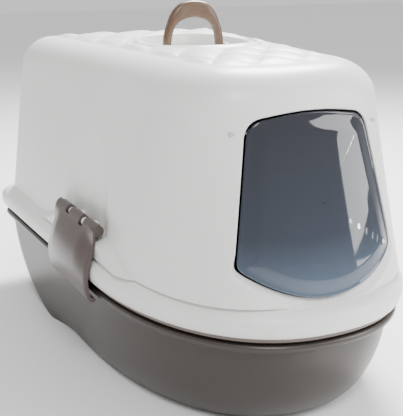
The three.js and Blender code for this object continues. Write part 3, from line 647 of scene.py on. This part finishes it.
def hood():
    b = Build()
    outer = [b.ring(r) for r in skin_rings(0)]
    inner = [b.ring(r) for r in skin_rings(WALL)]
    door = door_outline(0)

    def grown(extra):
        normals = outline_normals(door)
        out = []
        for (x, z), (nx, nz) in zip(door, normals):
            g = extra * bevel_at(z)
            out.append((x + nx * g, z + nz * g))
        return out

    edge_out, pts_out = door_patch(b, outer, 0.0, grown(1.0))
    back, pts_in = door_patch(b, inner, WALL, grown(1.3))
    # turned-in edge: from the wall's face to the jamb, deepest at the sill
    target = resample(door, polar_fractions(door, pts_out, DOOR_CENTRE))
    previous = edge_out
    for k in range(1, 11):
        a = k / 10
        ring = []
        for (ox, oz), (ix, iz) in zip(pts_out, target):
            sill = sill_share(iz)
            x, z = mix(ox, ix, math.sin(a * math.pi / 2)), mix(oz, iz, math.sin(a * math.pi / 2))
            round_in = 2.6 * (1 - math.cos(a * math.pi / 2))
            flat_in = 6.0 * a + 0.8 * math.sin(a * math.pi)
            x, z = mix(x, mix(ox, ix, a), sill), mix(z, mix(oz, iz, a), sill)
            ring.append((x, front_y(x, z, 0) + mix(round_in, flat_in, sill), z))
        now = b.ring(ring)
        start = len(b.faces)
        b.bridge(previous, now)
        for f in range(start, len(b.faces)):
            if ring[(f - start) % len(ring)][2] < GRAIN_TOP_Z:
                b.second.add(tuple(sorted(b.faces[f])))
        previous = now
    lip = []
    for (ix, iz), (bx, bz) in zip(target, pts_in):
        sill = sill_share(iz)
        lip.append((mix(ix, bx, 0.25), front_y(ix, iz, 0) + mix(3.0, 7.4, sill), mix(iz, bz, 0.25)))
    now = b.ring(lip)
    b.bridge(previous, now)
    b.bridge(now, back)

    # roof, from the fillet's top to the dish
    def roof(ids, d, top_rings):
        flat = plan_ring(inset(SHOULDER, ROOF_R), 0)
        ovals = [math.atan2((y - DISH_Y) / DISH_Y_HALF, x / DISH_X_HALF) for x, y, _ in flat]
        previous = ids[-1]
        grow = 10.0 if d == 0 else WALL
        z_flat = SHOULDER_Z + ROOF_R - d
        for s in range(1, top_rings + 1):
            t = s / top_rings
            ring = []
            for (x, y, _), a in zip(flat, ovals):
                ox = (DISH_X_HALF + grow) * math.cos(a)
                oy = DISH_Y + (DISH_Y_HALF + grow) * math.sin(a)
                px, py = mix(x, ox, t), mix(y, oy, t)
                r = roof_share(px, py)
                edge = smooth((1 - r) * 7) * smooth((1 - t) * 6)
                lift = quilt(px, py, edge) if d == 0 else 0
                seam = 0.35 * (1 - smooth((1 - r) * 9))
                ring.append((px, py, z_flat + CROWN * (1 - r * r) + lift - seam))
            now = b.ring(ring)
            b.bridge(previous, now)
            previous = now
        return previous, ovals

    rim_out, ovals = roof(outer, 0.0, 64)
    rim_in, _ = roof(inner, WALL, 8)

    def oval(grow, z):
        return [((DISH_X_HALF + grow) * math.cos(a), DISH_Y + (DISH_Y_HALF + grow) * math.sin(a), z)
                for a in ovals]

    # the dish: a rolled lip, a sloped wall and a rounded floor
    lip = [(8.8, 0.0), (7.6, 0.25), (6.2, 0.9), (4.8, 1.7), (3.4, 2.2), (2.0, 2.2), (0.8, 1.8), (0.1, 1.0),
           (-0.3, -0.2)]
    base = ROOF_TOP - 0.9
    previous = rim_out
    for g, h in lip:
        now = b.ring([(x, y, z + h + CROWN * (1 - min(1.0, roof_share(x, y)) ** 2) - CROWN)
                      for x, y, z in oval(g, base + 0.6)])
        b.bridge(previous, now)
        previous = now
    for g, z in ((-1.0, 17), (-2.5, 13), (-4.5, 9.5), (-7.0, 6), (-9.6, 3), (-12.5, 1), (-16, 0.1),
                 (-24, 0), (-40, 0)):
        now = b.ring(oval(g, DISH_FLOOR_Z + z))
        b.bridge(previous, now)
        previous = now
    b.fan(previous, (0, DISH_Y, DISH_FLOOR_Z))
    previous = rim_in
    for g, z in ((2.6, 11), (0.6, 6), (-3.5, 1.5), (-10, -2.4), (-16, -3), (-40, -3)):
        now = b.ring(oval(g, DISH_FLOOR_Z + z))
        b.bridge(previous, now)
        previous = now
    b.fan(previous, (0, DISH_Y, DISH_FLOOR_Z - 3))

    # flange: rolled edge outside, folded lip inside
    top = FLANGE_TOP
    profile = [(13.6, top + 2.1), (12.0, top + 1.3), (10.4, top + 0.7), (8.6, top - 0.1), (6.8, top - 1.3),
               (5.0, top - 2.6), (3.4, top - 4.0), (2.1, top - 5.6), (1.1, top - 7.4), (0.45, top - 9.4),
               (0.1, top - 12), (0.0, top - 15), (0.4, HOOD_Z + 4.4), (1.1, HOOD_Z + 2.2),
               (1.9, HOOD_Z + 0.9), (3.0, HOOD_Z + 0.2), (4.0, HOOD_Z), (10, HOOD_Z), (10, HOOD_Z + 3),
               (4.5, HOOD_Z + 5), (4.0, top - 9), (6.5, top - 6), (11, top - 3), (15, top - 1)]
    rows = [b.ring(plan_ring(inset(RIM, d), z)) for d, z in profile]
    b.bridge(outer[0], rows[0], flip=True)
    for r0, r1 in zip(rows, rows[1:]):
        b.bridge(r0, r1, flip=True)
    b.bridge(rows[-1], inner[0], flip=True)

    # sockets for the flap's pins, the handle's lugs, and the knuckles between the clips' barrels
    for s in (-1, 1):
        b.socket(s)
        x0, x1 = sorted(s * x for x in HANDLE_LUG_X)
        b.box(x0, x1, HANDLE_Y - HANDLE_EYE_RADIUS, HANDLE_Y + HANDLE_EYE_RADIUS,
              DISH_FLOOR_Z - 1, HANDLE_Z + HANDLE_EYE_RADIUS, 2.4)
        x = rim_half(CLIP_Y) - CLIP_INSET
        for end in (-1, 1):
            y = CLIP_Y + end * CLIP_LUG
            y0, y1 = y - KNUCKLE_HALF, y + KNUCKLE_HALF
            b.rod((s * x, y0, CLIP_AXIS_Z), (s * x, y1, CLIP_AXIS_Z), KNUCKLE_RADIUS)
            x0, x1 = sorted((s * (x - 13), s * (x + 1)))
            b.box(x0, x1, y0, y1, BOSS_TOP - 3, CLIP_AXIS_Z, 0.8)
    return b.object("hood_shell", white, "hood", "hood_white", ("hood",), sharp=40, second=grained)


def roof_share(x, y):
    """How far out a point of the roof lies, from 0 in the middle to 1 at its flat's edge."""
    lo, hi = 0.0, 1.6
    plan = inset(SHOULDER, ROOF_R)
    for _ in range(18):
        s = (lo + hi) / 2
        px, py = abs(x) / s, ROOF_CENTRE + (y - ROOF_CENTRE) / s
        if py < plan["ns"]:
            inside = (px / plan["hf"]) ** 2.8 + ((plan["ns"] - py) / (plan["front"] + plan["ns"])) ** 2.8 <= 1
        elif py > plan["bs"]:
            inside = (px / plan["hb"]) ** 2.8 + ((py - plan["bs"]) / (plan["back"] - plan["bs"])) ** 2.8 <= 1
        else:
            t = (py - plan["ns"]) / (plan["bs"] - plan["ns"])
            inside = px <= mix(plan["hf"], plan["hb"], t)
        if inside:
            hi = s
        else:
            lo = s
    return hi


# ---- Flap ------------------------------------------------------------------------------


def flap():
    b = Build()
    outline = resample(door_outline(FLAP_GAP), [k / 320 for k in range(320)])
    normals = outline_normals(outline)

    def ring(back, depth):
        pts = []
        for (x, z), (nx, nz) in zip(outline, normals):
            px, pz = x - nx * back, z - nz * back
            pts.append((px, front_y(px, pz, 0) + FLAP_SETBACK + depth, pz))
        return pts

    def shrunk(scale, depth, back):
        pts = []
        for (x, z), (nx, nz) in zip(outline, normals):
            px, pz = x - nx * back, z - nz * back
            px, pz = px * scale, DOOR_CENTRE[1] + (pz - DOOR_CENTRE[1]) * scale
            pts.append((px, front_y(px, pz, 0) + FLAP_SETBACK + depth, pz))
        return pts

    front = [ring(0.0, 1.2), ring(0.1, 0.7), ring(0.5, 0.2), ring(1.1, 0.0), ring(2.0, 0.0), ring(2.7, 0.3),
             ring(3.6, 0.3), ring(8.0, -0.8), ring(13.0, -2.1), ring(15.5, -2.6), ring(16.6, -2.75),
             ring(17.8, -2.7), ring(FLAP_MARGIN, FLAP_PANEL_DEPTH)]
    front += [shrunk(s, FLAP_PANEL_DEPTH, FLAP_MARGIN)
              for s in (0.92, 0.82, 0.7, 0.56, 0.42, 0.28, 0.14, 0.05)]
    rear = [ring(0.0, 1.8), ring(0.3, 2.4), ring(1.2, 2.6), ring(5.0, 2.4), ring(13.0, 0.4), ring(17.0, -0.4),
            ring(FLAP_MARGIN, FLAP_REAR_DEPTH)]
    rear += [shrunk(s, FLAP_REAR_DEPTH, FLAP_MARGIN) for s in (0.82, 0.56, 0.28, 0.05)]
    a = [b.ring(r) for r in front]
    c = [b.ring(r) for r in rear]
    for p, q in zip(a, a[1:]):
        b.bridge(p, q)
    for p, q in zip(c, c[1:]):
        b.bridge(p, q, flip=True)
    b.bridge(a[0], c[0], flip=True)
    middle = front_y(0, DOOR_CENTRE[1], 0) + FLAP_SETBACK
    b.fan(a[-1], (0, middle + FLAP_PANEL_DEPTH, DOOR_CENTRE[1]))
    b.fan(c[-1], (0, middle + FLAP_REAR_DEPTH, DOOR_CENTRE[1]), flip=True)
    for s in (-1, 1):
        p, q = ((s * x, FLAP_AXIS_Y, FLAP_AXIS_Z) for x in FLAP_LUG_X)
        b.rod(p, q, FLAP_LUG_RADIUS)
    return b.object("flap", smoke, "flap", "smoke", ("door_flap",), sharp=60)


# ---- Handle ----------------------------------------------------------------------------


def handle():
    b = Build()
    rings = []
    for k in range(97):
        a = k / 96 * math.pi
        c, s = math.cos(a), max(math.sin(a), 0)
        power = 2 / 2.3
        x = -HANDLE_SPAN * math.copysign(abs(c) ** power, c)
        z = HANDLE_Z + HANDLE_RISE * s ** power
        swell = min(1, max(0, (s - 0.55) / 0.4)) ** 1.3
        thick = 4.7 + 4.9 * swell
        deep = 5.3 + 1.2 * swell
        n = Vector((-c * HANDLE_RISE, s * HANDLE_SPAN)).normalized()
        ring = []
        for j in range(40):
            t = j / 40 * 2 * math.pi
            e = 2 / 2.5
            cu = math.copysign(abs(math.cos(t)) ** e, math.cos(t))
            sv = math.copysign(abs(math.sin(t)) ** e, math.sin(t))
            face = math.exp(-((abs(c) / 0.42) ** 4)) * smooth((abs(sv) - 0.86) / 0.1)
            out = thick * cu
            ring.append((x + n.x * out, HANDLE_Y + deep * sv - math.copysign(1.1, sv) * face, z + n.y * out))
        rings.append(ring)
    b.loft(rings, (-HANDLE_SPAN, HANDLE_Y, HANDLE_Z), (HANDLE_SPAN, HANDLE_Y, HANDLE_Z))
    for s in (-1, 1):
        p, q = ((s * (HANDLE_SPAN + d), HANDLE_Y, HANDLE_Z) for d in (-HANDLE_EYE_HALF, HANDLE_EYE_HALF))
        b.rod(p, q, HANDLE_EYE_RADIUS, edge=1)
    return b.object("grip", bronze, "handle", "bronze", ("handle",), sharp=50)


# ---- Side clips ------------------------------------------------------------------------


def clip_section():
    lip = TUB_HEIGHT

    def at(out, share):
        return (out, lip + share * (CLIP_AXIS_Z - lip))

    def turn(out, up):
        return (out - CLIP_INSET, CLIP_AXIS_Z + up)

    return [
        (-4.5, lip - 3.5), (-1, lip - 4.8), (3.6, lip - 3), at(6.2, 0.06), at(8.2, 0.27), at(8.2, 0.47),
        at(6, 0.66), at(1.8, 0.82), turn(9.2, -4), turn(7.2, 2.6), turn(4.2, 7), turn(0, 8.8),
        turn(0, 6.2), turn(3, 5.4), turn(5.5, 1.6), turn(6.2, -4), at(-1.2, 0.82), at(2.9, 0.66),
        at(5, 0.47), at(5, 0.27), at(3, 0.06), (1, lip + 0.6), (-4.5, lip - 0.7),
    ]


def rounded(section):
    """A closed outline with its corners cut twice."""
    for _ in range(2):
        out = []
        for a, c in zip(section, section[1:] + section[:1]):
            out.append((mix(a[0], c[0], 0.25), mix(a[1], c[1], 0.25)))
            out.append((mix(a[0], c[0], 0.75), mix(a[1], c[1], 0.75)))
        section = out
    return section


def clip_ring(section, side, u):
    """The clip's section at a place along it, drawn in at its two ends."""
    y = CLIP_Y + u * CLIP_HALF
    ring = []
    for out, z in section:
        rise = (z - TUB_HEIGHT) / (CLIP_AXIS_Z - TUB_HEIGHT)
        belly = math.sin(math.pi * min(max(rise, 0), 1))
        end = max(0.0, (abs(u) - 0.93) / 0.07)
        slim = 1.3 * (1 - math.sqrt(max(0.0, 1 - end * end))) if out > 2 else 0
        tuck = 4.5 * smooth((abs(u) - 0.55) / 0.45)
        tuck *= smooth((rise - 0.25) / 0.4) * (1 - smooth((rise - 0.8) / 0.2))
        bulge = CLIP_BULGE * belly * (1 - u * u)
        ring.append((side * (rim_half(y) + out - slim - tuck + bulge), y, z))
    return ring


def clip(side, name):
    b = Build()
    section = rounded(clip_section())
    ends = [-1, -0.996, -0.985, -0.965, -0.93]
    us = ends + [-0.9 + 0.05 * k for k in range(37)] + [-u for u in reversed(ends)]
    ids = b.loft([clip_ring(section, side, u) for u in us])
    for ring_ids in (ids[0], ids[-1]):
        b.faces.append(tuple(ring_ids))
    plate = b.object("clip_" + name, clip_mat, "clip_" + name, "clip_taupe", ("side_clip_" + name,), sharp=50)
    # room for the hood's two knuckles
    x = side * (rim_half(CLIP_Y) - CLIP_INSET)
    for end in (-1, 1):
        cut = Build()
        y = CLIP_Y + end * CLIP_LUG
        x0, x1 = sorted((x - side * 21, x + side * 8.2))
        cut.box(x0, x1, y - NOTCH_HALF, y + NOTCH_HALF, CLIP_AXIS_Z - 5, CLIP_AXIS_Z + 14, 0.8)
        carve(plate, cut)
    rods = Build()
    near, far = CLIP_LUG - NOTCH_HALF, CLIP_LUG + NOTCH_HALF
    for y0, y1 in ((1 - CLIP_HALF, -far), (-near, near), (far, CLIP_HALF - 1)):
        rods.rod((x, CLIP_Y + y0, CLIP_AXIS_Z), (x, CLIP_Y + y1, CLIP_AXIS_Z), BARREL_RADIUS, edge=1.2)
    return rods.object("clip_barrels_" + name, clip_mat, "clip_" + name, "clip_taupe", sharp=50)


def carve(obj, cut):
    """Cut a closed shape out of a piece."""
    cutter = bpy.data.objects.new("cutter", cut.mesh("cutter"))
    bpy.context.scene.collection.objects.link(cutter)
    mod = obj.modifiers.new("cut", "BOOLEAN")
    mod.operation = "DIFFERENCE"
    mod.solver = "EXACT"
    mod.object = cutter
    bpy.context.view_layer.update()
    done = bpy.data.meshes.new_from_object(obj.evaluated_get(bpy.context.evaluated_depsgraph_get()))
    obj.modifiers.clear()
    obj.data = done
    bpy.data.objects.remove(cutter)


base_tray()
sieve_tray()
hood()
flap()
handle()
clip(-1, "left")
clip(1, "right")


def dress(node, material):
    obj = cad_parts[node]
    obj.data.materials.clear()
    obj.data.materials.append(material)


for part in ("left", "right"):
    dress("flap_pin_" + part, clear)
    dress("handle_pin_" + part, bronze)
    dress("clip_pin_" + part, clip_mat)

# ---- Stage, lights and camera ----------------------------------------------------------

floor_mesh = bpy.data.meshes.new("floor")
floor_mesh.from_pydata([(-6, -6, 0), (6, -6, 0), (6, 6, 0), (-6, 6, 0)], [], [(0, 1, 2, 3)])
floor_obj = bpy.data.objects.new("floor", floor_mesh)
bpy.context.scene.collection.objects.link(floor_obj)
floor_mat = bpy.data.materials.new("pale floor")
floor_mat.use_nodes = True
floor_tree = floor_mat.node_tree
floor_noise = floor_tree.nodes.new("ShaderNodeTexNoise")
floor_noise.inputs["Scale"].default_value = 3
floor_ramp = floor_tree.nodes.new("ShaderNodeValToRGB")
floor_ramp.color_ramp.elements[0].color = (0.86, 0.86, 0.86, 1)
floor_ramp.color_ramp.elements[1].color = (0.9, 0.9, 0.9, 1)
floor_tree.links.new(floor_noise.outputs["Fac"], floor_ramp.inputs["Fac"])
floor_tree.links.new(floor_ramp.outputs["Color"], floor_tree.nodes["Principled BSDF"].inputs["Base Color"])
floor_tree.nodes["Principled BSDF"].inputs["Roughness"].default_value = 0.6
floor_mesh.materials.append(floor_mat)

world = bpy.context.scene.world or bpy.data.worlds.new("studio")
bpy.context.scene.world = world
world.use_nodes = True
world.node_tree.nodes["Background"].inputs["Color"].default_value = (1, 1, 1, 1)
world.node_tree.nodes["Background"].inputs["Strength"].default_value = 0.85


def area(name, place, aim, size, power):
    light = bpy.data.lights.new(name, "AREA")
    light.shape = "RECTANGLE"
    light.size, light.size_y = size
    light.energy = power
    obj = bpy.data.objects.new(name, light)
    bpy.context.scene.collection.objects.link(obj)
    obj.location = place
    obj.rotation_euler = (Vector(aim) - Vector(place)).to_track_quat("-Z", "Y").to_euler()


area("top", (0.7, 0.7, 1.4), (0, 0, 0.25), (0.6, 0.6), 92)
area("right", (1.0, -0.95, 0.72), (0.05, -0.2, 0.24), (0.5, 0.95), 15)
area("front", (-0.5, -1.5, 1.9), (0, -0.1, 0.22), (0.6, 0.6), 30)

AZIMUTH, ELEVATION = math.radians(-26.875), math.radians(15.974)
DISTANCE, SHIFT_RIGHT, SHIFT_UP = 0.99858, 0.00373, -0.03142
back = Vector((math.sin(AZIMUTH) * math.cos(ELEVATION), -math.cos(AZIMUTH) * math.cos(ELEVATION),
               math.sin(ELEVATION)))
right = Vector((math.cos(AZIMUTH), math.sin(AZIMUTH), 0))
up = back.cross(right)
place = Vector((0, 0, 0.2)) + back * DISTANCE + right * SHIFT_RIGHT + up * SHIFT_UP
camera_data = bpy.data.cameras.new("camera")
camera_data.lens = 72.66
camera_data.sensor_width = 36
camera_data.shift_y = -0.0279
camera = bpy.data.objects.new("camera", camera_data)
bpy.context.scene.collection.objects.link(camera)
turn = Matrix((right, up, back)).transposed().to_4x4()
camera.matrix_world = Matrix.Translation(place) @ turn
bpy.context.scene.camera = camera
